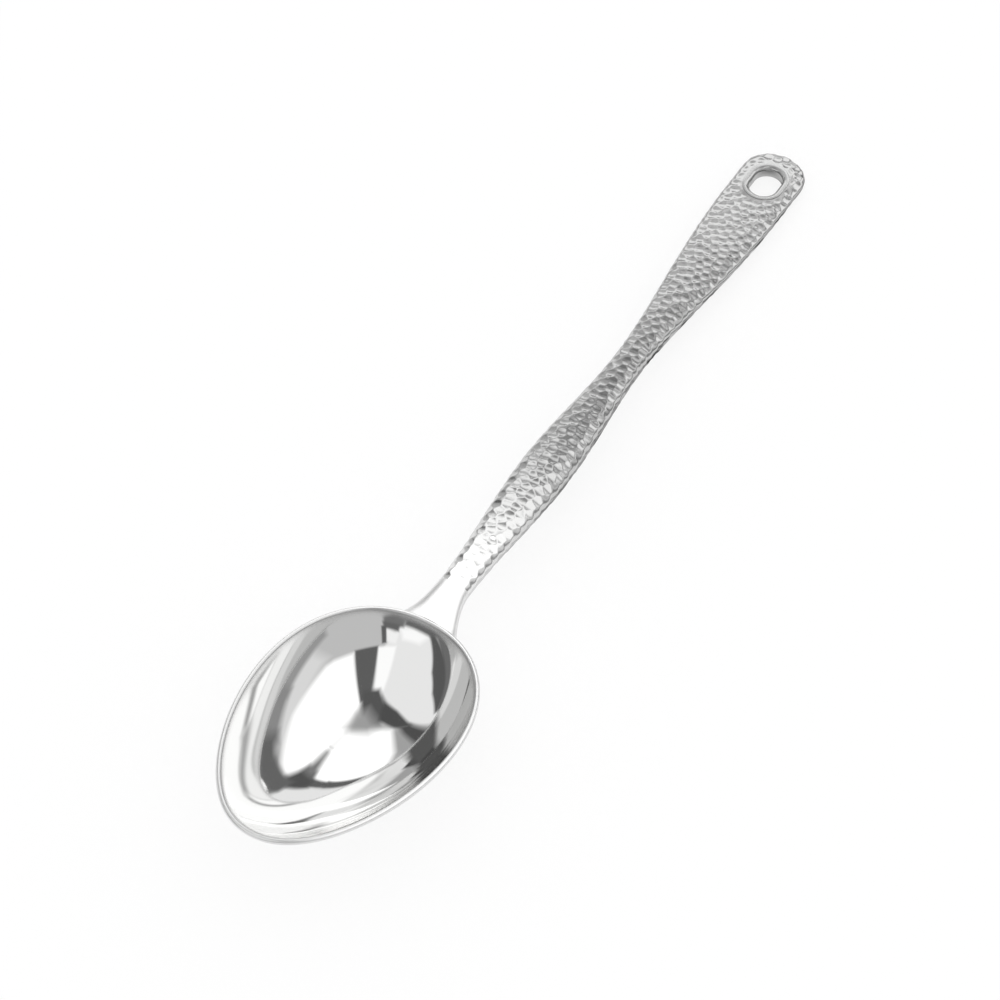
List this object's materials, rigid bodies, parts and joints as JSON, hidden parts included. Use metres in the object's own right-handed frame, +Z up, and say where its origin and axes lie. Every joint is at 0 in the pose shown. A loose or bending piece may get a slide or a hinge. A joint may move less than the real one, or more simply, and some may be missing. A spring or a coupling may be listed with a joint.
{
  "type": "serving spoon",
  "caption": "Stainless serving spoon with a deep egg-shaped bowl, a smooth neck and a long hammered hollow handle with an oval hanging hole.",
  "frame": {"origin": "under the middle of the spoon's length and width, at the level that it rests on", "axes": "+X from the bowl's tip to the handle's end, +Z up out of the bowl's mouth"},
  "size_m": [0.3301, 0.0668, 0.0338],
  "materials": {
    "mirror_steel": "mirror polished",
    "drawn_steel": "drawn bar, bare",
    "hammered_steel": "hand hammered and polished",
    "turned_steel": "smooth polished"
  },
  "bodies": {
    "root": {"bowl": "mirror_steel", "neck": "mirror_steel", "tang_rod": "drawn_steel", "handle_upper_shell": "hammered_steel", "handle_lower_shell": "hammered_steel", "hole_sleeve": "turned_steel"}
  },
  "joints": []
}
